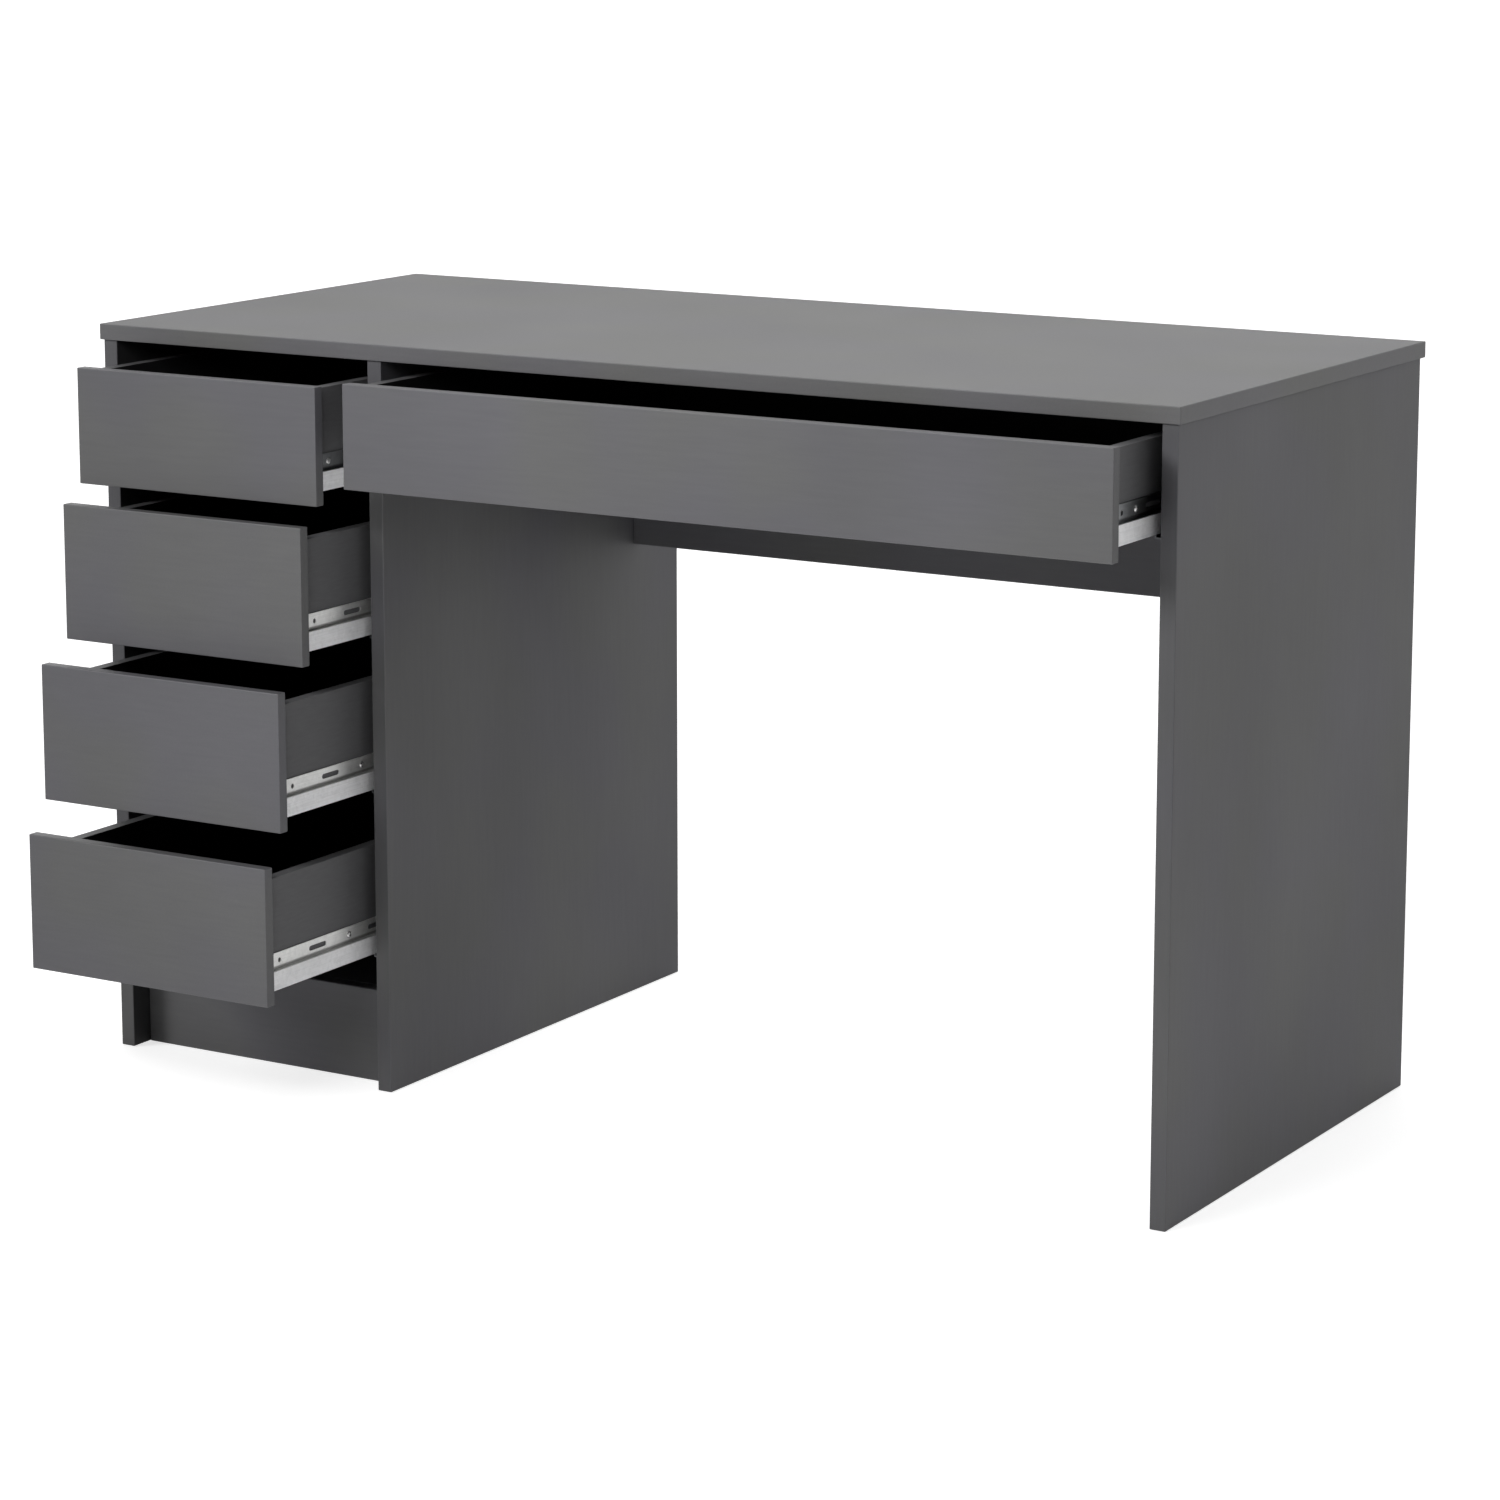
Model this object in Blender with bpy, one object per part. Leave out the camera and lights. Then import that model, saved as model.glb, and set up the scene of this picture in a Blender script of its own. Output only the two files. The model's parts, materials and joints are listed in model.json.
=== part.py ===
"""Writing desk: a four-drawer pedestal on the left and one wide drawer over the knee space.

Metres, +Z up, +X to the right as the sitter sees the desk, -Y towards the sitter.
The origin is on the floor, under the middle of the desk's box with the drawers as drawn here,
each pulled out by its own amount.
"""

import math

import bmesh
import bpy
from mathutils import Vector

# Driving dimensions
DESK_WIDTH = 1.200
DESK_DEPTH = 0.550
DESK_HEIGHT = 0.750
KNEE_SPACE_WIDTH = 0.837

# Boards
BOARD = 0.016              # melamine-faced chipboard of the carcass
DRAWER_BOARD = 0.012       # drawer fronts and drawer boxes
HARDBOARD = 0.003          # drawer bottoms and the pedestal's back
EDGE_RADIUS = 0.0008       # edge banding, rounded over
JOINT_GAP = 0.0003         # between pieces that touch

# Carcass
TOP_OVERHANG = 0.003       # the top past the panels, at the front and both sides
PLINTH_SETBACK = 0.026     # plinth's face behind the panels' front edges
BOTTOM_TOP = 0.095         # upper faces of the plinth and of the bottom board behind it
BACK_MARGIN = 0.002        # the nailed back inside the pedestal's sides and above the floor
BACK_SETBACK = 0.002       # the nailed back under the top's rear edge
MODESTY_FRONT = 0.454      # modesty panel's face behind the panels' front edges
MODESTY_BOTTOM = 0.489

# Drawers. Each front: height of its lower edge, its own height, and how far it is pulled out
PEDESTAL_FRONTS = (
    (0.599, 0.116, 0.074),
    (0.446, 0.136, 0.101),
    (0.290, 0.137, 0.141),
    (0.123, 0.137, 0.167),
)
WIDE_FRONT = (0.619, 0.102, 0.076)
FRONT_SIDE_GAP = 0.009     # between a front's end and the panel beside it
BOX_DEPTH = 0.420          # drawer side, behind the front
SIDE_BOTTOM = 0.015        # lower edge of a drawer side above its front's lower edge
SHALLOW_SIDE_DROP = 0.003  # drawer side below the top of a front in the upper row
DEEP_SIDE_DROP = 0.014     # the same for the three drawers under it
UPPER_ROW_BOTTOM = 0.590   # fronts that start above this are in the upper row

# The bottom's groove
GROOVE_RISE = 0.009        # groove above the lower edge of a drawer side
GROOVE_DEPTH = 0.006

# Runners, 400 mm long, in the 16 mm between a drawer side and its panel
RUNNER_SPACE = 0.016
RUNNER_LENGTH = 0.400
RUNNER_HEIGHT = 0.035
RUNNER_SHEET = 0.001
RUNNER_DROP = 0.001        # a drawer runner below its drawer side
TRACK_HEIGHT = 0.019       # the bulged lower half of a drawer runner
TRACK_PLACE = 0.0094       # the track's outer wall, from the panel: behind the front's end
CABINET_SETBACK = 0.0135   # a cabinet runner behind the panels' front edges and a closed front
CABINET_DROP = 0.004       # a cabinet runner's foot below the drawer runner
CABINET_HEIGHT = 0.030
CABINET_FOOT = 0.0118      # how far the foot reaches from the panel
CABINET_LIP = 0.012        # height of the foot's turned-up edge
HOLE_RADIUS = 0.0024
SLOT_LENGTH = 0.028
SLOT_WIDTH = 0.005
HOLE_PLACES = (0.016, 0.216, 0.384)
SLOT_PLACES = (0.078, 0.176, 0.340)
ARC_STEPS = 6              # sides of each half round in a hole or a slot

# Derived places
BOARD_TOP = DESK_HEIGHT - BOARD - JOINT_GAP
MAX_PULL = max(pull for _, _, pull in PEDESTAL_FRONTS)
MIDDLE_Y = (MAX_PULL - TOP_OVERHANG) / 2
TOP_FRONT = MIDDLE_Y - DESK_DEPTH / 2
TOP_REAR = MIDDLE_Y + DESK_DEPTH / 2
PANEL_FRONT = TOP_FRONT + TOP_OVERHANG
BACK_REAR = TOP_REAR - BACK_SETBACK
PANEL_REAR = BACK_REAR - HARDBOARD
PANEL_OUTER = DESK_WIDTH / 2 - TOP_OVERHANG
PANEL_INNER = PANEL_OUTER - BOARD
PARTITION_RIGHT = PANEL_INNER - KNEE_SPACE_WIDTH
PARTITION_LEFT = PARTITION_RIGHT - BOARD

# Finishes: sRGB colour as hex digits, roughness, metallic
FINISHES = {
    "anthracite": ("58585a", 0.55, 0.0),
    "drawer_lining": ("48484a", 0.60, 0.0),
    "hardboard": ("3a3a3c", 0.70, 0.0),
    "zinc_steel": ("c4c5c4", 0.35, 1.0),
}


def clear_scene():
    for obj in list(bpy.data.objects):
        bpy.data.objects.remove(obj, do_unlink=True)


def linear_colour(hex_digits):
    """sRGB hex digits as the linear RGBA that a shader takes."""
    channels = [int(hex_digits[i : i + 2], 16) / 255 for i in (0, 2, 4)]
    linear = [c / 12.92 if c <= 0.04045 else ((c + 0.055) / 1.055) ** 2.4 for c in channels]
    return (*linear, 1.0)


def new_material(name, finish):
    colour, roughness, metallic = FINISHES[finish]
    material = bpy.data.materials.new(name)
    material.use_nodes = True
    shader = material.node_tree.nodes["Principled BSDF"]
    shader.inputs["Base Color"].default_value = linear_colour(colour)
    shader.inputs["Roughness"].default_value = roughness
    shader.inputs["Metallic"].default_value = metallic
    return material


def add_object(name, bm, location, finish=None, parent=None):
    """Turn a bmesh into an object; one without a finish is a cutter."""
    mesh = bpy.data.meshes.new(name)
    bmesh.ops.recalc_face_normals(bm, faces=bm.faces)
    bm.to_mesh(mesh)
    bm.free()
    obj = bpy.data.objects.new(name, mesh)
    bpy.context.scene.collection.objects.link(obj)
    obj.location = location
    obj.parent = parent
    if finish:
        mesh.materials.append(new_material(name, finish))
    else:
        obj.hide_render = True
        obj.display_type = "WIRE"
    return obj


def round_edges(obj, segments):
    bevel = obj.modifiers.new("edge_radius", "BEVEL")
    bevel.width = EDGE_RADIUS
    bevel.segments = segments
    bevel.limit_method = "ANGLE"


def board(name, low, high, finish=None, parent=None, segments=1):
    """A board between two corners, with rounded edges unless it is a cutter."""
    low, high = Vector(low), Vector(high)
    bm = bmesh.new()
    bmesh.ops.create_cube(bm, size=1.0)
    bmesh.ops.scale(bm, vec=high - low, verts=bm.verts)
    obj = add_object(name, bm, (low + high) / 2, finish, parent)
    if finish:
        round_edges(obj, segments)
    return obj


def draw_out(bm, corners, vector):
    """Fill a closed outline and draw it out along a vector."""
    face = bm.faces.new([bm.verts.new(corner) for corner in corners])
    made = bmesh.ops.extrude_face_region(bm, geom=[face])["geom"]
    ends = [v for v in made if isinstance(v, bmesh.types.BMVert)]
    bmesh.ops.translate(bm, verts=ends, vec=vector)


def profile(name, outline, length, location, finish, parent=None):
    """A profile drawn in X and Z, and drawn out along +Y from its location."""
    bm = bmesh.new()
    draw_out(bm, [(x, 0, z) for x, z in outline], (0, length, 0))
    return add_object(name, bm, location, finish, parent)


def carve(obj, cutter):
    """Cut the cutter out of the object for good, after the object's own modifiers."""
    cut = obj.modifiers.new("cut", "BOOLEAN")
    cut.operation = "DIFFERENCE"
    cut.solver = "EXACT"
    cut.object = cutter
    bpy.context.view_layer.update()
    evaluated = obj.evaluated_get(bpy.context.evaluated_depsgraph_get())
    mesh = bpy.data.meshes.new_from_object(evaluated)
    obj.modifiers.clear()
    obj.data = mesh
    bpy.data.objects.remove(cutter, do_unlink=True)


def make_carcass():
    """The top, the three upright panels, and what ties them together."""
    left_inner = -PANEL_INNER + JOINT_GAP
    pedestal_right = PARTITION_LEFT - JOINT_GAP
    board(
        "desk_top",
        (-DESK_WIDTH / 2, TOP_FRONT, DESK_HEIGHT - BOARD),
        (DESK_WIDTH / 2, TOP_REAR, DESK_HEIGHT),
        "anthracite",
        segments=2,
    )
    panels = {
        "left_side_panel": -PANEL_OUTER,
        "pedestal_partition": PARTITION_LEFT,
        "right_side_panel": PANEL_INNER,
    }
    for name, left in panels.items():
        low = (left, PANEL_FRONT, 0)
        high = (left + BOARD, PANEL_REAR - JOINT_GAP, BOARD_TOP)
        board(name, low, high, "anthracite", segments=2)
    board(
        "pedestal_bottom",
        (left_inner, PANEL_FRONT + PLINTH_SETBACK + BOARD + JOINT_GAP, BOTTOM_TOP - BOARD),
        (pedestal_right, PANEL_REAR - JOINT_GAP, BOTTOM_TOP),
        "anthracite",
    )
    board(
        "plinth",
        (left_inner, PANEL_FRONT + PLINTH_SETBACK, 0),
        (pedestal_right, PANEL_FRONT + PLINTH_SETBACK + BOARD, BOTTOM_TOP),
        "anthracite",
    )
    board(
        "modesty_panel",
        (PARTITION_RIGHT + JOINT_GAP, PANEL_FRONT + MODESTY_FRONT, MODESTY_BOTTOM),
        (PANEL_INNER - JOINT_GAP, PANEL_FRONT + MODESTY_FRONT + BOARD, BOARD_TOP),
        "anthracite",
    )
    board(
        "pedestal_back",
        (-PANEL_OUTER + BACK_MARGIN, PANEL_REAR, BACK_MARGIN),
        (PARTITION_RIGHT - BACK_MARGIN, BACK_REAR, BOARD_TOP),
        "hardboard",
    )


def side_outline(height, inward):
    """A drawer side's section from its outer face, with the bottom's groove on its inner face."""
    groove_top = GROOVE_RISE + HARDBOARD + 2 * JOINT_GAP
    floor = (DRAWER_BOARD - GROOVE_DEPTH) * inward
    face = DRAWER_BOARD * inward
    return (
        (0, 0),
        (face, 0),
        (face, GROOVE_RISE),
        (floor, GROOVE_RISE),
        (floor, groove_top),
        (face, groove_top),
        (face, height),
        (0, height),
    )


def drawer_runner_outline(inward):
    """The drawer's runner from the panel's face: a flat web over a track open downwards."""
    sheet = RUNNER_SHEET
    web_out = RUNNER_SPACE - JOINT_GAP - sheet
    outline = (
        (TRACK_PLACE, 0),
        (TRACK_PLACE + sheet, 0),
        (TRACK_PLACE + sheet, TRACK_HEIGHT - sheet),
        (web_out, TRACK_HEIGHT - sheet),
        (web_out, 0),
        (web_out + sheet, 0),
        (web_out + sheet, RUNNER_HEIGHT),
        (web_out, RUNNER_HEIGHT),
        (web_out, TRACK_HEIGHT),
        (TRACK_PLACE, TRACK_HEIGHT),
    )
    return [(x * inward, z) for x, z in outline]


def cabinet_runner_outline(inward):
    """The panel's runner: a web, and a foot whose turned-up edge runs inside the track."""
    sheet = RUNNER_SHEET
    web = JOINT_GAP
    outline = (
        (web, 0),
        (CABINET_FOOT, 0),
        (CABINET_FOOT, CABINET_LIP),
        (CABINET_FOOT - sheet, CABINET_LIP),
        (CABINET_FOOT - sheet, sheet),
        (web + sheet, sheet),
        (web + sheet, CABINET_HEIGHT),
        (web, CABINET_HEIGHT),
    )
    return [(x * inward, z) for x, z in outline]


def half_round(centre, radius, start):
    """Points of a half circle in Y and Z, from an angle, anticlockwise."""
    angles = [start + math.pi * i / ARC_STEPS for i in range(ARC_STEPS + 1)]
    return [(centre + radius * math.cos(a), radius * math.sin(a)) for a in angles]


def hole_cutter():
    """Screw holes and slots along a runner's web, in the runner's own axes."""
    bm = bmesh.new()
    height = (TRACK_HEIGHT + RUNNER_HEIGHT) / 2
    openings = [(place, HOLE_RADIUS, 0) for place in HOLE_PLACES]
    straight = SLOT_LENGTH - SLOT_WIDTH
    openings += [(place, SLOT_WIDTH / 2, straight) for place in SLOT_PLACES]
    for place, radius, length in openings:
        far = half_round(place + length / 2, radius, -math.pi / 2)
        near = half_round(place - length / 2, radius, math.pi / 2)
        if not length:
            far, near = far[:-1], near[:-1]
        outline = [(-RUNNER_SPACE, y, height + z) for y, z in far + near]
        draw_out(bm, outline, (2 * RUNNER_SPACE, 0, 0))
    return bm


def drawer_runner_mesh(side, inward):
    """One pierced runner, whose mesh the runners on that side of every drawer share."""
    outline = drawer_runner_outline(inward)
    runner = profile(f"{side}_runner_blank", outline, RUNNER_LENGTH, (0, 0, 0), "zinc_steel")
    carve(runner, add_object("runner_holes", hole_cutter(), (0, 0, 0)))
    mesh = runner.data
    bpy.data.objects.remove(runner, do_unlink=True)
    return mesh


def make_front(name, width, height, parent):
    """The front board, grooved behind for the drawer's bottom."""
    front = board(
        f"{name}_front",
        (-width / 2, 0, 0),
        (width / 2, DRAWER_BOARD, height),
        "anthracite",
        parent,
        segments=2,
    )
    half_groove = width / 2 - RUNNER_SPACE + FRONT_SIDE_GAP - DRAWER_BOARD + GROOVE_DEPTH
    groove = board(
        "groove",
        (-half_groove, DRAWER_BOARD - GROOVE_DEPTH, SIDE_BOTTOM + GROOVE_RISE),
        (half_groove, 2 * DRAWER_BOARD, SIDE_BOTTOM + GROOVE_RISE + HARDBOARD + 2 * JOINT_GAP),
        parent=parent,
    )
    carve(front, groove)


def make_box(name, width, height, parent):
    """Two sides, the rear and the bottom, behind a front that starts at y = 0."""
    front_back = DRAWER_BOARD + JOINT_GAP
    half = width / 2
    for side, sign in (("left", -1), ("right", 1)):
        profile(
            f"{name}_side_{side}",
            side_outline(height, -sign),
            BOX_DEPTH,
            (sign * half, front_back, SIDE_BOTTOM),
            "drawer_lining",
            parent,
        )
    inner = half - DRAWER_BOARD - JOINT_GAP
    groove_z = SIDE_BOTTOM + GROOVE_RISE
    bottom_top = groove_z + JOINT_GAP + HARDBOARD
    rear_end = front_back + BOX_DEPTH
    board(
        f"{name}_rear",
        (-inner, rear_end - DRAWER_BOARD, bottom_top + JOINT_GAP),
        (inner, rear_end, SIDE_BOTTOM + height),
        "drawer_lining",
        parent,
    )
    tongue = half - DRAWER_BOARD + GROOVE_DEPTH - JOINT_GAP
    bm = bmesh.new()
    depth = rear_end - (DRAWER_BOARD - GROOVE_DEPTH + JOINT_GAP)
    bmesh.ops.create_cube(bm, size=1.0)
    bmesh.ops.scale(bm, vec=(2 * tongue, depth, HARDBOARD), verts=bm.verts)
    middle = (0, rear_end - depth / 2, bottom_top - HARDBOARD / 2)
    add_object(f"{name}_bottom", bm, middle, "hardboard", parent)


def make_drawer(name, left, right, front, runner_meshes):
    """A drawer in the opening between two panels, and the runners that carry it."""
    lower_edge, front_height, pull = front
    upper_row = lower_edge > UPPER_ROW_BOTTOM
    side_drop = SHALLOW_SIDE_DROP if upper_row else DEEP_SIDE_DROP
    side_height = front_height - side_drop - SIDE_BOTTOM

    slide = bpy.data.objects.new(f"{name}_slide", None)
    bpy.context.scene.collection.objects.link(slide)
    slide.location = ((left + right) / 2, PANEL_FRONT - pull, lower_edge)

    opening = right - left
    make_front(name, opening - 2 * FRONT_SIDE_GAP, front_height, slide)
    make_box(name, opening - 2 * RUNNER_SPACE, side_height, slide)

    runner_z = SIDE_BOTTOM - RUNNER_DROP
    for side, sign in (("left", -1), ("right", 1)):
        runner = bpy.data.objects.new(f"{name}_runner_{side}", runner_meshes[side])
        bpy.context.scene.collection.objects.link(runner)
        runner.parent = slide
        runner.location = (sign * opening / 2, DRAWER_BOARD + JOINT_GAP, runner_z)
        profile(
            f"{name}_cabinet_runner_{side}",
            cabinet_runner_outline(-sign),
            RUNNER_LENGTH,
            (
                left if sign < 0 else right,
                PANEL_FRONT + CABINET_SETBACK,
                lower_edge + runner_z - CABINET_DROP,
            ),
            "zinc_steel",
        )


def make_desk():
    clear_scene()
    make_carcass()
    runner_meshes = {
        "left": drawer_runner_mesh("left", 1),
        "right": drawer_runner_mesh("right", -1),
    }
    for number, front in enumerate(PEDESTAL_FRONTS, 1):
        name = f"pedestal_drawer_{number}"
        make_drawer(name, -PANEL_INNER, PARTITION_LEFT, front, runner_meshes)
    make_drawer("wide_drawer", PARTITION_RIGHT, PANEL_INNER, WIDE_FRONT, runner_meshes)


make_desk()
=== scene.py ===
"""Looks of the writing desk: its finishes, its fittings, the studio and the camera.

Metres, +Z up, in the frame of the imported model. The CAD nodes stay as they are and get
procedural finishes. Screws, rollers, cam caps, nails and a glue bead are added as pieces that
ride on the bodies.
"""

import json
import math

import bmesh
import bpy
from mathutils import Matrix, Vector

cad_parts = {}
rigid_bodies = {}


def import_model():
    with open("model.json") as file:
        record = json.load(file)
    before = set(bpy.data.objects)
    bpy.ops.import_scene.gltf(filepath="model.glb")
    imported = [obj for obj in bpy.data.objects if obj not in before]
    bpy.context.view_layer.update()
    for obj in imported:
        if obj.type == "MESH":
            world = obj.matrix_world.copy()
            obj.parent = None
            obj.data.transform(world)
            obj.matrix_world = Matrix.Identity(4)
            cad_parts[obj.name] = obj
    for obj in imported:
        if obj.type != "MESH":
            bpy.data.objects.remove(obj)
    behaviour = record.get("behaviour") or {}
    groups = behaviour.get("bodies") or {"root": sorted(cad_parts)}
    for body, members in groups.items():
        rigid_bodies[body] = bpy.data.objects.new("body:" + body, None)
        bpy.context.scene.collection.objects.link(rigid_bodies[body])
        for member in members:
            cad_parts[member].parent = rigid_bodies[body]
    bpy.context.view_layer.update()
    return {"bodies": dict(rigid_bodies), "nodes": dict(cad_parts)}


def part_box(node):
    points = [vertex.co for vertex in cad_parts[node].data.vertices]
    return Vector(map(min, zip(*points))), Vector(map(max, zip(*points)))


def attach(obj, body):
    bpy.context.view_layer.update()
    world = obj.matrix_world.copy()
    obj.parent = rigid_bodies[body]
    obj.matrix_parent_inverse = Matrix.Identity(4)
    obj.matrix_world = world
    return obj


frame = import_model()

NODES = frame["nodes"]
DRAWERS = sorted(body for body in frame["bodies"] if body != "carcass")

# Finishes, as linear colours
ANTHRACITE = (0.099, 0.099, 0.103)
FRONT_ANTHRACITE = (0.103, 0.103, 0.107)
TOP_ANTHRACITE = (0.098, 0.098, 0.099)
LINING_OUTER = (0.120, 0.120, 0.124)
# near black: painted shade on the drawers' inner faces
DRAWER_INNER_SHADE = (0.012, 0.012, 0.013)
# near black: painted shade on the inner faces of the pedestal's left panel and partition
PEDESTAL_INNER_SHADE = (0.022, 0.022, 0.023)
HARDBOARD = (0.040, 0.040, 0.042)
ZINC = (0.86, 0.86, 0.845)
# darker zinc for the upper two drawers' webs: painted shade
SHADED_WEB_ZINC = (0.36, 0.37, 0.38)          # the runners' webs on the two upper drawers
SHADED_ZINC = (0.16, 0.165, 0.17)       # the cabinet runners
BRIGHT_ZINC = (0.93, 0.93, 0.94)        # the tracks' outer walls
SCREW_STEEL = (0.82, 0.82, 0.81)
NYLON = (0.10, 0.10, 0.10)
CAP_PLASTIC = (0.055, 0.055, 0.058)
GLUE = (0.030, 0.028, 0.026)

# Boards: noise scales that draw a grain out along an axis, and the edge faces' tone; the darker
# edges of the upright panels are painted shade
ALONG_X = (0.08, 1, 1)
ALONG_Z = (1, 1, 0.08)
TOP_EDGE_TONE = 1.18
FRONT_EDGE_TONE = 1.04
UPRIGHT_EDGE_SHADE = 0.84
UPRIGHT_DRIFT = 0.13

# Drawer runners: how metallic the zinc is, and heights on the folded sheet
WEB_METAL = 0.68
SHADED_WEB_METAL = 1.0
TRACK_METAL = 0.18
RUNNER_SHEET = 0.001         # thickness of the runners' sheet steel
TRACK_HEIGHT = 0.019         # top of the track's outer wall, above the runner's lower edge
TRACK_FADE = (0.0006, 0.0002)  # below that top, where the outer wall's finish ends
# the fold's dark line is painted shade
FOLD_HEIGHT = 0.0012         # the dark line of the fold, above that top
FOLD_CORE = 0.0008           # half the dark line's height
FOLD_REACH = 0.0022          # and half with its soft edges

# Screws of the runners, by their distance from a runner's front end
SCREW_HEAD = 0.0034          # radius of a head
SCREW_RISE = 0.0014
SCREW_RIM = 0.0002
SCREW_PLACES = (0.130, 0.216, 0.384)
UPPER_ROW_SCREWS = {
    "pedestal_drawer_1": (0.016, 0.044, 0.216, 0.384),
    "wide_drawer": (0.044, 0.216, 0.384),
}
WEB_HEIGHT = 0.027           # the screws' line above a drawer runner's lower edge
CABINET_SCREWS = (0.030, 0.150, 0.290, 0.375)
CABINET_SCREW_HEIGHT = 0.023
RECESS_LENGTH = SCREW_HEAD * 1.25
RECESS_WIDTH = 0.00075
RECESS_DEPTH = SCREW_RISE * 1.3
RECESS_TURN = 0.5            # of each cross, in radians

# Rollers: insets from a runner's end, and heights above its lower edge
ROLLER_WIDTH = 0.0022
ROLLER_GAP = 0.0002          # between a roller and its runner
FRONT_ROLLER_RADIUS = 0.0091
FRONT_ROLLER_INSET = 0.011
FRONT_ROLLER_HEIGHT = 0.0125
REAR_ROLLER_RADIUS = 0.0068
REAR_ROLLER_INSET = 0.012
REAR_ROLLER_HEIGHT = 0.0043

# Cam caps, nails and glue
FITTING_GAP = 0.0001         # between a fitting and the board it lies on
CAP_RADIUS = 0.0085
CAP_RISE = 0.0011
CAP_EDGE_INSET = 0.034       # from the joint to a cap's centre
CAP_END_INSET = 0.060        # from a panel's front or rear edge
MODESTY_CAP_BELOW = 0.050    # from the modesty panel's upper edge
MODESTY_CAP_ABOVE = 0.040    # and from its lower edge
NAIL_RADIUS = 0.0017
NAIL_RISE = 0.0006
NAIL_ROWS = 6
NAIL_MARGIN = 0.030          # from the back's upper and lower edges to the end nails
NAILS_ACROSS = 3
BEAD_RADIUS = 0.0024
BEAD_GAP = 0.00005           # between the bead and its two boards
BEAD_SECTIONS = 90
BEAD_WAVES = ((0.10, 0.83), (0.06, 2.1))  # swell of the radius, and its pace per section

SHARP = math.radians(35)     # edges that turn further than this are shaded sharp
ROLLER_SHARP = math.radians(50)

MIX_A, MIX_B, MIX_RESULT = 6, 7, 2        # a Mix node's colour sockets


# Mesh helpers

def link(name, data):
    obj = bpy.data.objects.new(name, data)
    bpy.context.scene.collection.objects.link(obj)
    return obj


def turned(bm, outline, matrix, segments):
    """Turn an outline of (radius, height) points about Z into a closed solid."""
    rings = []
    for radius, height in outline:
        if radius == 0:
            rings.append([bm.verts.new(matrix @ Vector((0, 0, height)))])
            continue
        angles = [2 * math.pi * i / segments for i in range(segments)]
        points = [Vector((radius * math.cos(a), radius * math.sin(a), height)) for a in angles]
        rings.append([bm.verts.new(matrix @ p) for p in points])
    for low, high in zip(rings, rings[1:]):
        for i in range(segments):
            j = (i + 1) % segments
            corners = [low[i % len(low)], low[j % len(low)]]
            corners += [high[j % len(high)], high[i % len(high)]]
            bm.faces.new(dict.fromkeys(corners))


def finished_mesh(name, bm, sharp=SHARP):
    bmesh.ops.recalc_face_normals(bm, faces=bm.faces)
    mesh = bpy.data.meshes.new(name)
    bm.to_mesh(mesh)
    bm.free()
    mesh.shade_smooth()
    mesh.set_sharp_from_angle(angle=sharp)
    return mesh


def arc(radius, rise, start, end, steps):
    """Points of an arc, as (radius, height) offsets."""
    turn = [start + (end - start) * i / steps for i in range(steps + 1)]
    return [(radius * math.cos(a), rise * math.sin(a)) for a in turn]


def dome(radius, rise, start, steps, foot):
    """The outline of a low dome: its foot's points, then an arc from start to the crown."""
    crown = arc(radius, rise, start, math.pi / 2, steps)
    return [(0, 0)] + foot + crown[:-1] + [(0, rise)]


def facing(place, normal):
    """A matrix that sends +Z to a normal and the origin to a place."""
    turn = Vector((0, 0, 1)).rotation_difference(Vector(normal)).to_matrix().to_4x4()
    return Matrix.Translation(Vector(place)) @ turn


# Material helpers

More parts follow.
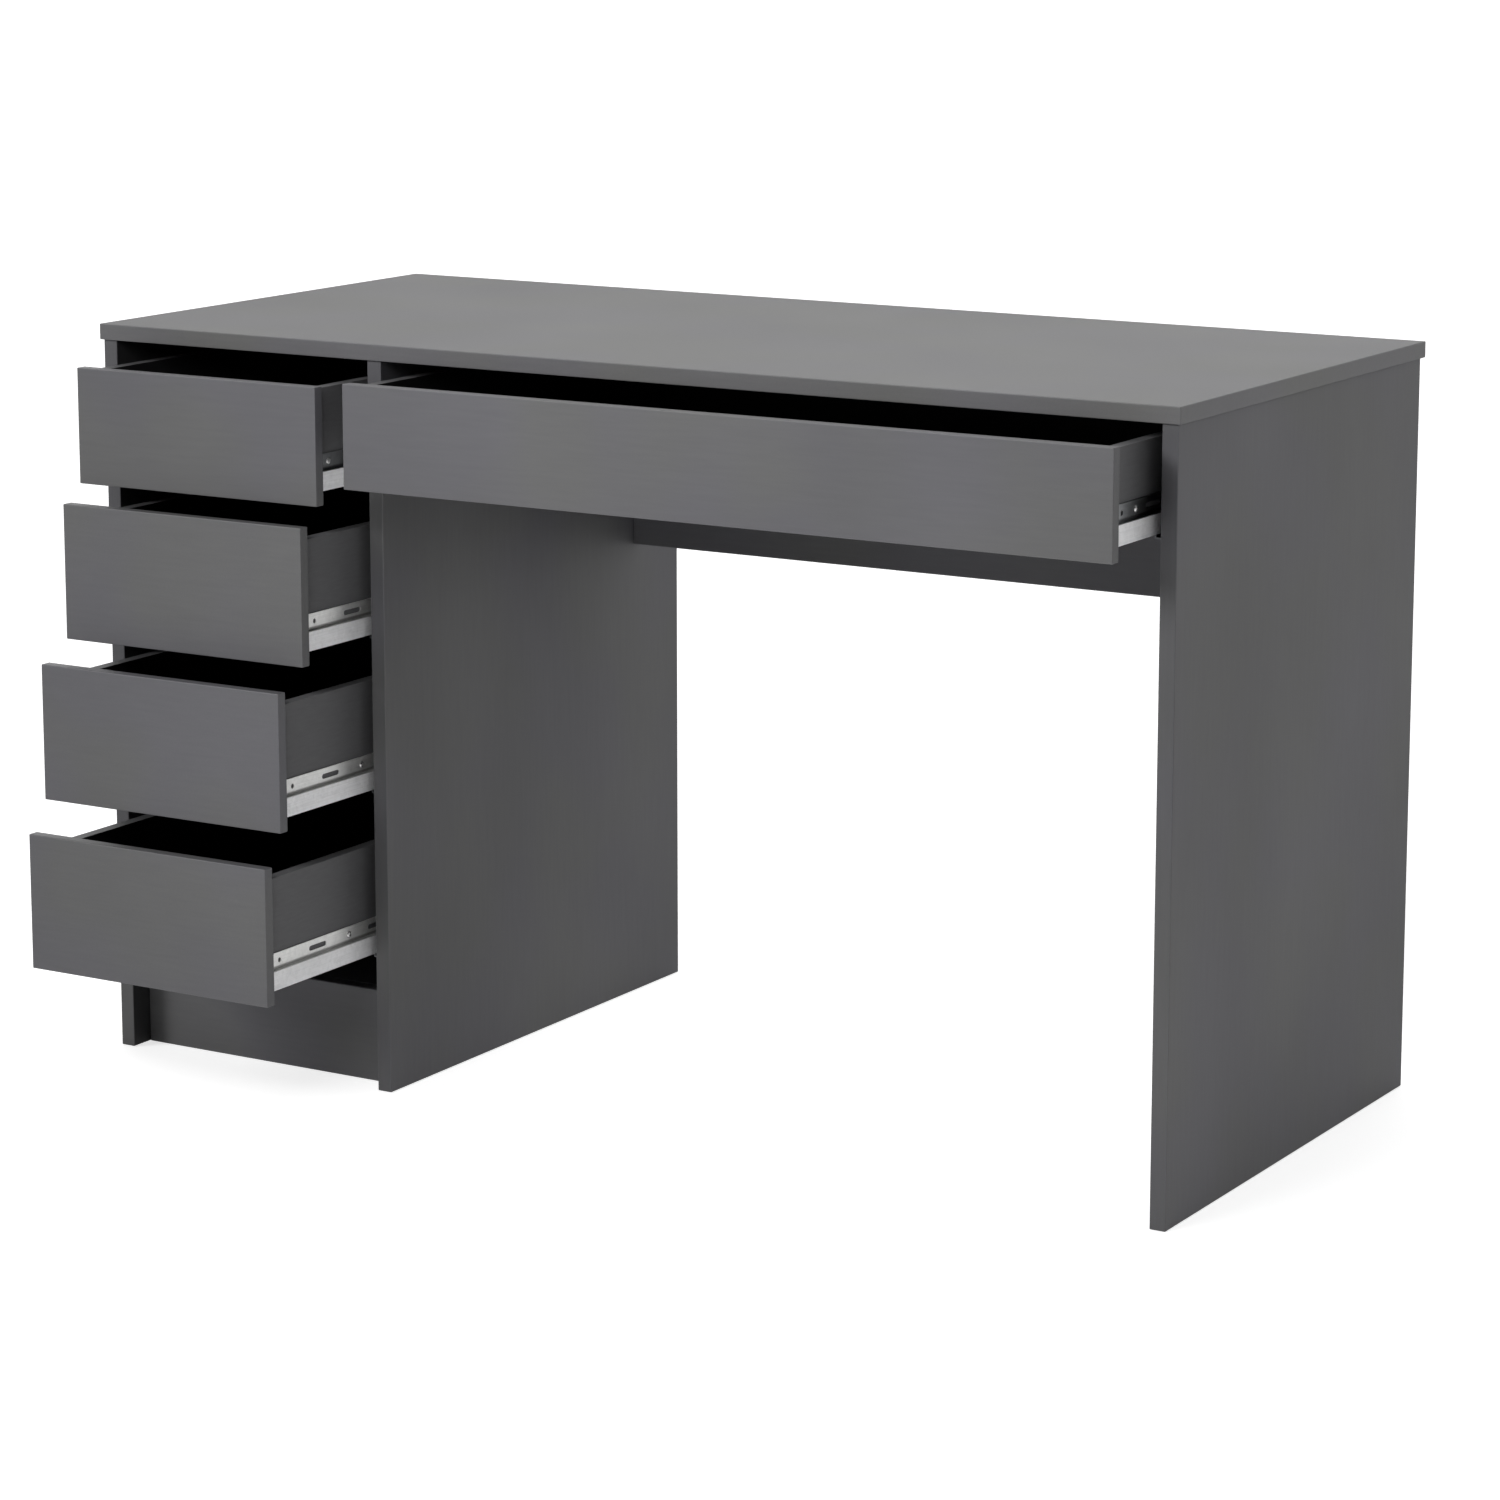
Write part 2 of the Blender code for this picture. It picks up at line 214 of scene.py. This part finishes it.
class Shader:
    """A Principled material, with short calls for the nodes that drive it."""

    def __init__(self, name, colour, roughness, metallic=0.0, specular=0.5):
        self.material = bpy.data.materials.new(name)
        self.material.use_nodes = True
        self.tree = self.material.node_tree
        self.bsdf = self.tree.nodes["Principled BSDF"]
        self.bsdf.inputs["Base Color"].default_value = (*colour, 1)
        self.bsdf.inputs["Roughness"].default_value = roughness
        self.bsdf.inputs["Metallic"].default_value = metallic
        self.bsdf.inputs["Specular IOR Level"].default_value = specular
        self.place = self.tree.nodes.new("ShaderNodeTexCoord")

    def node(self, kind, **values):
        made = self.tree.nodes.new(kind)
        for key, value in values.items():
            setattr(made, key, value)
        return made

    def link(self, source, target):
        self.tree.links.new(source, target)

    def noise(self, scale, detail, stretch=(1, 1, 1), roughness=0.5):
        mapping = self.node("ShaderNodeMapping")
        mapping.inputs["Scale"].default_value = stretch
        self.link(self.place.outputs["Object"], mapping.inputs["Vector"])
        noise = self.node("ShaderNodeTexNoise")
        noise.inputs["Scale"].default_value = scale
        noise.inputs["Detail"].default_value = detail
        noise.inputs["Roughness"].default_value = roughness
        self.link(mapping.outputs["Vector"], noise.inputs["Vector"])
        return noise.outputs["Fac"]

    def cells(self, scale):
        """A brightness of its own for each cell, from 0 to 1."""
        cells = self.node("ShaderNodeTexVoronoi")
        cells.inputs["Scale"].default_value = scale
        self.link(self.place.outputs["Object"], cells.inputs["Vector"])
        brightness = self.node("ShaderNodeRGBToBW")
        self.link(cells.outputs["Color"], brightness.inputs["Color"])
        return brightness.outputs["Val"]

    def math(self, operation, a, b=0.0):
        made = self.node("ShaderNodeMath", operation=operation)
        for socket, value in zip(made.inputs, (a, b)):
            if isinstance(value, (int, float)):
                socket.default_value = value
            else:
                self.link(value, socket)
        return made.outputs[0]

    def product(self, first, *others):
        for other in others:
            first = self.math("MULTIPLY", first, other)
        return first

    def spread(self, value, low, high, source_low=0.3, source_high=0.7):
        """Map a value's range, by default that of a noise, onto low to high."""
        made = self.node("ShaderNodeMapRange")
        made.inputs["From Min"].default_value = source_low
        made.inputs["From Max"].default_value = source_high
        made.inputs["To Min"].default_value = low
        made.inputs["To Max"].default_value = high
        self.link(value, made.inputs["Value"])
        return made.outputs["Result"]

    def fade(self, mask, low, high):
        """A value that is low where a mask is 0 and high where it is 1."""
        return self.spread(mask, low, high, 0.0, 1.0)

    def tinted(self, colour, factor):
        """A colour times a varying factor."""
        made = self.node("ShaderNodeVectorMath", operation="SCALE")
        if isinstance(colour, tuple):
            made.inputs[0].default_value = colour
        else:
            self.link(colour, made.inputs[0])
        self.link(factor, made.inputs["Scale"])
        return made.outputs["Vector"]

    def mixed(self, factor, a, b):
        made = self.node("ShaderNodeMix", data_type="RGBA")
        self.link(factor, made.inputs["Factor"])
        for socket, value in ((made.inputs[MIX_A], a), (made.inputs[MIX_B], b)):
            if isinstance(value, tuple):
                socket.default_value = (*value, 1)
            else:
                self.link(value, socket)
        return made.outputs[MIX_RESULT]

    def axis(self, output, name):
        split = self.node("ShaderNodeSeparateXYZ")
        self.link(self.place.outputs[output], split.inputs["Vector"])
        return split.outputs[name]

    def looking(self, axis, sign, low, high):
        """1 on the face that looks along an axis to its sign's side, and 0 elsewhere."""
        along = self.math("MULTIPLY", self.axis("Normal", axis), float(sign))
        return self.spread(along, 0.0, 1.0, low, high)

    def rounding(self):
        """1 on a board's rounded edges and 0 on its flat faces."""
        x, y, z = (self.math("ABSOLUTE", self.axis("Normal", name)) for name in "XYZ")
        widest = self.math("MAXIMUM", self.math("MAXIMUM", x, y), z)
        return self.spread(widest, 1.0, 0.0, 0.90, 0.995)

    def bump(self, *layers):
        """Stack bump layers of (height, distance in metres)."""
        normal = None
        for height, distance in layers:
            made = self.node("ShaderNodeBump")
            made.inputs["Distance"].default_value = distance
            made.inputs["Strength"].default_value = 1.0
            self.link(height, made.inputs["Height"])
            if normal is not None:
                self.link(normal, made.inputs["Normal"])
            normal = made.outputs["Normal"]
        self.link(normal, self.bsdf.inputs["Normal"])

    def colour(self, value):
        self.link(value, self.bsdf.inputs["Base Color"])

    def roughness(self, value):
        self.link(value, self.bsdf.inputs["Roughness"])


# Materials

def melamine(name, colour, thin_axis, grain, edge_tone=1.0, dark_side=0, drift=0.05):
    """Matt melamine foil with a fine pearl grain, and smoother banding on the board's edges.

    edge_tone scales the edge faces' tone beside the broad faces: above 1 it lightens them, below 1
    it darkens them as painted shade. dark_side is 1 or -1 where the face that looks that way along
    the thin axis is near black, as painted shade. drift is how far the tone wanders slowly. The
    rounded edges are lightened as a painted highlight.
    """
    s = Shader(name, colour, 0.5, specular=0.45)
    pearl = s.noise(1500, 2.0)
    streaks = s.noise(260, 3.0, grain)
    cloud = s.noise(5.0, 2.0)
    slow = s.noise(4.4, 1.5, (1, 1, 0.6))
    cool = (colour[0] * 0.99, colour[1] * 0.98, colour[2] * 1.03)
    warm = (colour[0] * 1.01, colour[1] * 1.01, colour[2] * 0.985)
    foil = s.mixed(s.spread(s.noise(6.5, 1.0), 0.0, 1.0, 0.4, 0.6), cool, warm)
    edge_face = s.math("SUBTRACT", 1.0, s.math("ABSOLUTE", s.axis("Normal", thin_axis)))
    tone = s.product(
        s.spread(cloud, 0.97, 1.03),
        s.spread(slow, 1.0 - drift, 1.0 + drift),
        s.spread(streaks, 0.968, 1.032),
        s.spread(pearl, 0.94, 1.06),
        # Edge faces scaled by edge_tone; on the upright panels this darkening is painted shade.
        s.fade(edge_face, 1.0, edge_tone),
        # The rounded edges are lightened as a painted highlight.
        s.fade(s.rounding(), 1.0, 1.22),
    )
    # The face that looks into the pedestal is painted near black as shade.
    if dark_side:
        inside = s.looking(thin_axis, dark_side, 0.90, 0.98)
        foil = s.mixed(inside, foil, PEDESTAL_INNER_SHADE)
    s.colour(s.tinted(foil, tone))
    satin = s.math("ADD", s.spread(pearl, 0.50, 0.58), s.spread(cloud, -0.015, 0.015))
    s.roughness(s.math("SUBTRACT", satin, s.math("MULTIPLY", edge_face, 0.07)))
    s.bump((pearl, 0.00005), (streaks, 0.00003))
    return s.material


def lining_and_shade(name, inner_axis, inner_sign):
    """Dark foil on a drawer's boards, with the face that looks into the drawer painted near black
    as shade.
    """
    s = Shader(name, LINING_OUTER, 0.55, specular=0.35)
    fibre = s.noise(420, 3.0, (1, 0.12, 1))
    pearl = s.noise(1400, 2.0)
    # The face that looks into the drawer is painted near black as shade.
    inside = s.looking(inner_axis, inner_sign, 0.4, 0.6)
    tone = s.product(
        s.spread(fibre, 0.95, 1.05),
        s.spread(pearl, 0.96, 1.04),
        # The rounded edges are lightened as a painted highlight.
        s.fade(s.rounding(), 1.0, 1.3),
    )
    s.colour(s.tinted(s.mixed(inside, LINING_OUTER, DRAWER_INNER_SHADE), tone))
    s.roughness(s.spread(pearl, 0.52, 0.62))
    s.bump((pearl, 0.00005), (fibre, 0.00003))
    return s.material


def hardboard():
    """Lacquered hardboard: a pressed fibre grain under thin dark lacquer."""
    s = Shader("hardboard_lacquer", HARDBOARD, 0.6, specular=0.35)
    mesh_grain = s.noise(700, 4.0)
    fibres = s.noise(160, 4.0, (1, 1, 0.25), roughness=0.6)
    tone = s.product(s.spread(mesh_grain, 0.78, 1.22), s.spread(fibres, 0.84, 1.16))
    s.colour(s.tinted(HARDBOARD, tone))
    s.roughness(s.spread(fibres, 0.55, 0.70))
    s.bump((mesh_grain, 0.00010), (fibres, 0.00006))
    return s.material


def runner_zinc(name, track_top, web_colour, web_metal):
    """Zinc-plated sheet: spangled above, whitish on the track's outer wall, with painted shade
    along the fold.
    """
    s = Shader(name, web_colour, 0.35, metallic=1.0)
    height = s.axis("Object", "Z")
    on_track = s.spread(height, 1.0, 0.0, track_top - TRACK_FADE[0], track_top - TRACK_FADE[1])
    from_fold = s.math("ABSOLUTE", s.math("SUBTRACT", height, track_top + FOLD_HEIGHT))
    # Painted shade along the fold, just above the track's outer wall.
    fold_shade = s.spread(from_fold, 1.0, 0.0, FOLD_CORE, FOLD_REACH)
    drawn = s.noise(900, 3.0, (1, 0.02, 1))
    smear = s.noise(38, 3.0, (1, 0.5, 1))
    tone = s.product(
        s.fade(s.cells(260), 0.93, 1.05),
        s.spread(drawn, 0.94, 1.06),
        s.spread(smear, 0.94, 1.04),
        s.fade(fold_shade, 1.0, 0.45),
    )
    s.colour(s.tinted(s.mixed(on_track, web_colour, BRIGHT_ZINC), tone))
    s.link(s.fade(on_track, web_metal, TRACK_METAL), s.bsdf.inputs["Metallic"])
    s.roughness(s.math("ADD", s.spread(drawn, 0.30, 0.42), s.math("MULTIPLY", on_track, 0.08)))
    s.bump((drawn, 0.00002), (smear, 0.00004))
    return s.material


def plain_zinc(name, colour, roughness):
    """Plated steel without spangle, for screws, nails and the cabinet runners."""
    s = Shader(name, colour, roughness, metallic=1.0)
    drawn = s.noise(800, 3.0, (1, 0.05, 1))
    smear = s.noise(60, 2.0)
    tone = s.product(s.spread(drawn, 0.93, 1.07), s.spread(smear, 0.93, 1.05))
    s.colour(s.tinted(colour, tone))
    s.roughness(s.spread(drawn, roughness - 0.06, roughness + 0.08))
    s.bump((drawn, 0.00002))
    return s.material


def moulded(name, colour, roughness):
    """Moulded plastic, or set glue, with a fine eroded skin."""
    s = Shader(name, colour, roughness)
    skin = s.noise(1800, 2.0)
    flow = s.noise(70, 2.0)
    tone = s.product(s.spread(skin, 0.96, 1.04), s.spread(flow, 0.97, 1.03))
    s.colour(s.tinted(colour, tone))
    s.roughness(s.spread(skin, roughness - 0.05, roughness + 0.05))
    s.bump((skin, 0.00003))
    return s.material


# Finishes of the CAD nodes

def give(node, material):
    NODES[node].data.materials.clear()
    NODES[node].data.materials.append(material)


def finish_boards():
    lying = melamine("melamine_lying", TOP_ANTHRACITE, "Z", ALONG_X, TOP_EDGE_TONE)
    crosswise = melamine("melamine_crosswise", ANTHRACITE, "Y", ALONG_X)
    fronts = melamine("melamine_fronts", FRONT_ANTHRACITE, "Y", ALONG_X, FRONT_EDGE_TONE)
    dark_sides = {"right_side_panel": 0, "left_side_panel": 1, "pedestal_partition": -1}
    for node in ("desk_top", "pedestal_bottom"):
        give(node, lying)
    for node in ("modesty_panel", "plinth"):
        give(node, crosswise)
    for node, dark_side in dark_sides.items():
        upright = melamine(
            f"melamine_{node}", ANTHRACITE, "X", ALONG_Z,
            UPRIGHT_EDGE_SHADE, dark_side, UPRIGHT_DRIFT,
        )
        give(node, upright)
    inner_faces = {
        "side_left": lining_and_shade("lining_and_shade_left", "X", 1),
        "side_right": lining_and_shade("lining_and_shade_right", "X", -1),
        "rear": lining_and_shade("lining_and_shade_rear", "Y", -1),
    }
    board = hardboard()
    give("pedestal_back", board)
    for drawer in DRAWERS:
        give(f"{drawer}_front", fronts)
        for part, material in inner_faces.items():
            give(f"{drawer}_{part}", material)
        give(f"{drawer}_bottom", board)


def finish_runners():
    cabinet = plain_zinc("cabinet_runner_zinc", SHADED_ZINC, roughness=0.38)
    for drawer in DRAWERS:
        track_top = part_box(f"{drawer}_runner_left")[0].z + TRACK_HEIGHT
        # The two upper drawers' webs take the darker, fully metallic zinc as painted shade.
        web = (SHADED_WEB_ZINC, SHADED_WEB_METAL) if drawer in UPPER_ROW_SCREWS else (ZINC, WEB_METAL)
        material = runner_zinc(f"{drawer}_runner_zinc", track_top, *web)
        for side in ("left", "right"):
            give(f"{drawer}_runner_{side}", material)
            give(f"{drawer}_cabinet_runner_{side}", cabinet)


# Fittings

def cross_recess(obj, places, normal):
    """Press a cross into each head with one Boolean, applied."""
    bm = bmesh.new()
    size = Matrix.Diagonal((RECESS_LENGTH, RECESS_WIDTH, RECESS_DEPTH, 1))
    for place in places:
        crown = facing(Vector(place) + Vector(normal) * SCREW_RISE, normal)
        for arm in (0, math.pi / 2):
            turn = Matrix.Rotation(arm + RECESS_TURN, 4, "Z")
            bmesh.ops.create_cube(bm, size=1.0, matrix=crown @ turn @ size)
    cutter = link("recess_cutter", finished_mesh("recess_cutter", bm))
    cut = obj.modifiers.new("recess", "BOOLEAN")
    cut.operation = "DIFFERENCE"
    cut.solver = "EXACT"
    cut.use_self = True
    cut.object = cutter
    bpy.context.view_layer.update()
    depsgraph = bpy.context.evaluated_depsgraph_get()
    mesh = bpy.data.meshes.new_from_object(obj.evaluated_get(depsgraph))
    obj.modifiers.clear()
    obj.data = mesh
    bpy.data.objects.remove(cutter, do_unlink=True)
    mesh.shade_smooth()
    mesh.set_sharp_from_angle(angle=SHARP)


def add_screws(name, places, normal, body, material):
    """Low pan heads with a cross recess, all of one runner in one piece."""
    foot = [(SCREW_HEAD * 0.97, 0), (SCREW_HEAD, SCREW_RIM)]
    outline = dome(SCREW_HEAD, SCREW_RISE, 0.18, 7, foot)
    bm = bmesh.new()
    for place in places:
        turned(bm, outline, facing(place, normal), segments=24)
    screws = link(name, finished_mesh(name, bm))
    cross_recess(screws, places, normal)
    screws.data.materials.append(material)
    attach(screws, body)


def roller_outline(radius, width):
    """A nylon roller with rounded rims, a dished side and a hub."""
    edge = width * 0.22
    dish = width * 0.18
    near = arc(edge, edge, -math.pi / 2, 0, 4)
    far = arc(edge, edge, 0, math.pi / 2, 4)
    return (
        [(0, 0), (radius * 0.62, 0)]
        + [(radius - edge + x, edge + z) for x, z in near]
        + [(radius - edge + x, width - edge + z) for x, z in far]
        + [(radius * 0.66, width), (radius * 0.60, width - dish)]
        + [(radius * 0.36, width - dish), (radius * 0.34, width), (0, width)]
    )


def add_roller(name, place, normal, radius, body, material):
    bm = bmesh.new()
    turned(bm, roller_outline(radius, ROLLER_WIDTH), facing(place, normal), segments=40)
    roller = link(name, finished_mesh(name, bm, ROLLER_SHARP))
    roller.data.materials.append(material)
    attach(roller, body)


def fit_runners():
    """Screws on every runner, and a roller at each drawer runner's rear and cabinet one's front."""
    steel = plain_zinc("screw_zinc", SCREW_STEEL, roughness=0.28)
    nylon = moulded("roller_nylon", NYLON, roughness=0.42)
    for drawer in DRAWERS:
        steps = UPPER_ROW_SCREWS.get(drawer, SCREW_PLACES)
        for side, inward in (("left", 1), ("right", -1)):
            low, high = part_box(f"{drawer}_runner_{side}")
            web = (high.x if inward > 0 else low.x) - inward * RUNNER_SHEET
            places = [(web, low.y + step, low.z + WEB_HEIGHT) for step in steps]
            add_screws(f"{drawer}_runner_screws_{side}", places, (-inward, 0, 0), drawer, steel)
            behind = high.y - REAR_ROLLER_INSET
            rear = (web - inward * ROLLER_GAP, behind, low.z + REAR_ROLLER_HEIGHT)
            add_roller(
                f"{drawer}_rear_roller_{side}", rear, (-inward, 0, 0),
                REAR_ROLLER_RADIUS, drawer, nylon,
            )

            low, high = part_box(f"{drawer}_cabinet_runner_{side}")
            face = (low.x if inward > 0 else high.x) + inward * RUNNER_SHEET
            line = low.z + CABINET_SCREW_HEIGHT
            places = [(face, low.y + step, line) for step in CABINET_SCREWS]
            add_screws(f"{drawer}_cabinet_screws_{side}", places, (inward, 0, 0), "carcass", steel)
            lip = (high.x if inward > 0 else low.x) + inward * ROLLER_GAP
            front = (lip, low.y + FRONT_ROLLER_INSET, low.z + FRONT_ROLLER_HEIGHT)
            add_roller(
                f"{drawer}_front_roller_{side}", front, (inward, 0, 0),
                FRONT_ROLLER_RADIUS, "carcass", nylon,
            )


def add_caps():
    """Caps over the cam discs: behind the modesty panel and high inside the panels."""
    low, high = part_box("modesty_panel")
    seats = []
    for x in (low.x + CAP_EDGE_INSET, high.x - CAP_EDGE_INSET):
        for z in (low.z + MODESTY_CAP_ABOVE, high.z - MODESTY_CAP_BELOW):
            seats.append(((x, high.y + FITTING_GAP, z), (0, 1, 0)))
    inner_faces = {"right_side_panel": -1, "left_side_panel": 1, "pedestal_partition": 1}
    for panel, inward in inner_faces.items():
        low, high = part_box(panel)
        x = (high.x if inward > 0 else low.x) + inward * FITTING_GAP
        for y in (low.y + CAP_END_INSET, high.y - CAP_END_INSET):
            seats.append(((x, y, high.z - CAP_EDGE_INSET), (inward, 0, 0)))
    outline = dome(CAP_RADIUS, CAP_RISE, 0.25, 8, [(CAP_RADIUS, 0)])
    bm = bmesh.new()
    for place, normal in seats:
        turned(bm, outline, facing(place, normal), segments=32)
    caps = link("cam_caps", finished_mesh("cam_caps", bm))
    caps.data.materials.append(moulded("cap_plastic", CAP_PLASTIC, roughness=0.45))
    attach(caps, "carcass")


def add_nails():
    """Nails round the pedestal's hardboard back."""
    low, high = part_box("pedestal_back")
    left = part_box("left_side_panel")
    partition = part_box("pedestal_partition")
    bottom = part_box("pedestal_bottom")
    columns = [(left[0].x + left[1].x) / 2, (partition[0].x + partition[1].x) / 2]
    height = high.z - low.z - 2 * NAIL_MARGIN
    places = []
    for x in columns:
        for i in range(NAIL_ROWS):
            places.append((x, low.z + NAIL_MARGIN + height * i / (NAIL_ROWS - 1)))
    for i in range(1, NAILS_ACROSS + 1):
        x = columns[0] + (columns[1] - columns[0]) * i / (NAILS_ACROSS + 1)
        places.append((x, (bottom[0].z + bottom[1].z) / 2))
    outline = dome(NAIL_RADIUS, NAIL_RISE, 0.2, 6, [(NAIL_RADIUS, 0)])
    bm = bmesh.new()
    for x, z in places:
        turned(bm, outline, facing((x, high.y + FITTING_GAP, z), (0, 1, 0)), segments=20)
    nails = link("back_nails", finished_mesh("back_nails", bm))
    nails.data.materials.append(plain_zinc("nail_zinc", SCREW_STEEL, roughness=0.35))
    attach(nails, "carcass")


def add_glue_bead():
    """A bead of dark glue where the pedestal's back meets the underside of the top."""
    corner_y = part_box("pedestal_back")[0].y - BEAD_GAP
    corner_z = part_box("desk_top")[0].z - BEAD_GAP
    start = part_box("left_side_panel")[1].x + FITTING_GAP
    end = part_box("pedestal_partition")[0].x - FITTING_GAP
    bm = bmesh.new()
    rings = []
    for i in range(BEAD_SECTIONS + 1):
        x = start + (end - start) * i / BEAD_SECTIONS
        swell = sum(depth * math.sin(pace * i) for depth, pace in BEAD_WAVES)
        radius = BEAD_RADIUS * (1 + swell)
        profile = [(0, 0)] + arc(radius, radius, 0, math.pi / 2, 6)
        points = [(x, corner_y - across, corner_z - down) for across, down in profile]
        rings.append([bm.verts.new(point) for point in points])
    for ring, following in zip(rings, rings[1:]):
        for j in range(len(ring)):
            k = (j + 1) % len(ring)
            bm.faces.new((ring[j], ring[k], following[k], following[j]))
    bm.faces.new(rings[0])
    bm.faces.new(rings[-1])
    bead = link("back_glue_bead", finished_mesh("back_glue_bead", bm))
    bead.data.materials.append(moulded("dark_glue", GLUE, roughness=0.38))
    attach(bead, "carcass")


# Studio: a white floor, a sky that glows behind the desk, two softboxes and a key

FLOOR_REACH = 40.0
FLOOR_DROP = 0.0005
FLOOR_WHITE = (0.82, 0.82, 0.82)
FLOOR_GLOW = 0.25
FLOOR_GLOW_TO_LENS = 0.72
SKY_FILL = 0.02
SKY_GLOW = 1.68
GLOW_TOWARDS = (-0.15, 0.90, 0.35)
GLOW_POWER = 1.5
FRONT_PLACE = (-0.02, -1.42, 1.36)
FRONT_TARGET = (0.03, 0.0, 0.66)
FRONT_SIZE = (0.8, 0.6)
FRONT_POWER = 11.0
CARD_PLACE = (2.4, 0.9, 0.32)
CARD_TARGET = (0.0, 0.0, 0.25)
CARD_SIZE = (2.4, 0.6)
CARD_POWER = 0.5
KEY_FROM = (-0.62, -0.66, 0.42)
KEY_SPREAD = 22              # degrees
KEY_POWER = 1.3


def add_floor():
    """A white floor that glows a little, and more so to the lens: the shadow stays pale."""
    bm = bmesh.new()
    bmesh.ops.create_grid(bm, x_segments=1, y_segments=1, size=FLOOR_REACH)
    floor = link("floor", finished_mesh("floor", bm))
    s = Shader("floor_white", FLOOR_WHITE, 0.9, specular=0.1)
    s.bsdf.inputs["Emission Color"].default_value = (1, 1, 1, 1)
    to_lens = s.node("ShaderNodeLightPath").outputs["Is Camera Ray"]
    glow = s.fade(to_lens, FLOOR_GLOW, FLOOR_GLOW_TO_LENS)
    s.link(glow, s.bsdf.inputs["Emission Strength"])
    s.colour(s.tinted(FLOOR_WHITE, s.spread(s.noise(3.0, 3.0), 0.995, 1.005)))
    floor.data.materials.append(s.material)
    floor.location.z = -FLOOR_DROP


def add_softbox(name, place, target, size, power):
    light = bpy.data.lights.new(name, "AREA")
    light.shape = "RECTANGLE"
    light.size, light.size_y = size
    light.energy = power
    box = link(name, light)
    box.visible_camera = False
    box.location = place
    box.rotation_euler = (Vector(target) - Vector(place)).to_track_quat("-Z", "Y").to_euler()


def add_key():
    """A soft key from the desk's front left, above the drawers."""
    light = bpy.data.lights.new("key", "SUN")
    light.energy = KEY_POWER
    light.angle = math.radians(KEY_SPREAD)
    key = link("key", light)
    key.rotation_euler = (-Vector(KEY_FROM)).to_track_quat("-Z", "Y").to_euler()


def sky_strength(tree):
    """A low even fill, and a broad glow behind the desk."""
    def node(operation, *values):
        made = tree.nodes.new("ShaderNodeMath")
        made.operation = operation
        for socket, value in zip(made.inputs, values):
            if isinstance(value, (int, float)):
                socket.default_value = value
            else:
                tree.links.new(value, socket)
        return made.outputs[0]

    place = tree.nodes.new("ShaderNodeTexCoord")
    along = tree.nodes.new("ShaderNodeVectorMath")
    along.operation = "DOT_PRODUCT"
    tree.links.new(place.outputs["Generated"], along.inputs[0])
    along.inputs[1].default_value = Vector(GLOW_TOWARDS).normalized()
    facing_glow = node("MAXIMUM", along.outputs["Value"], 0.0)
    glow = node("MULTIPLY", node("POWER", facing_glow, GLOW_POWER), SKY_GLOW)
    return node("ADD", glow, SKY_FILL)


def add_light():
    """White walls to the lens, the glowing sky to the desk, and the lamps."""
    world = bpy.data.worlds.new("studio")
    bpy.context.scene.world = world
    world.use_nodes = True
    tree = world.node_tree
    sky = tree.nodes["Background"]
    walls = tree.nodes.new("ShaderNodeBackground")
    for background in (sky, walls):
        background.inputs["Color"].default_value = (1, 1, 1, 1)
    tree.links.new(sky_strength(tree), sky.inputs["Strength"])
    rays = tree.nodes.new("ShaderNodeLightPath")
    mix = tree.nodes.new("ShaderNodeMixShader")
    tree.links.new(rays.outputs["Is Camera Ray"], mix.inputs["Fac"])
    tree.links.new(sky.outputs[0], mix.inputs[1])
    tree.links.new(walls.outputs[0], mix.inputs[2])
    tree.links.new(mix.outputs[0], tree.nodes["World Output"].inputs["Surface"])
    add_softbox("front_softbox", FRONT_PLACE, FRONT_TARGET, FRONT_SIZE, FRONT_POWER)
    add_softbox("side_softbox", CARD_PLACE, CARD_TARGET, CARD_SIZE, CARD_POWER)
    add_key()


# Camera: a long lens at the desk's front right, tipped down a little

CAMERA_PLACE = (2.269, -3.701, 1.280)
CAMERA_AZIMUTH = 30.98       # degrees
CAMERA_PITCH = 10.27         # degrees below level
CAMERA_SENSOR = 36.0         # millimetres
CAMERA_LENS = 107.6          # millimetres
CAMERA_SHIFT = -0.10


def add_camera():
    data = bpy.data.cameras.new("camera")
    data.sensor_width = CAMERA_SENSOR
    data.lens = CAMERA_LENS
    data.shift_y = CAMERA_SHIFT
    camera = link("camera", data)
    camera.location = CAMERA_PLACE
    tilt = math.radians(90 - CAMERA_PITCH)
    camera.rotation_euler = (tilt, 0, math.radians(CAMERA_AZIMUTH))
    bpy.context.scene.camera = camera


finish_boards()
finish_runners()
fit_runners()
add_caps()
add_nails()
add_glue_bead()
add_floor()
add_light()
add_camera()
bpy.context.scene.view_settings.view_transform = "Standard"
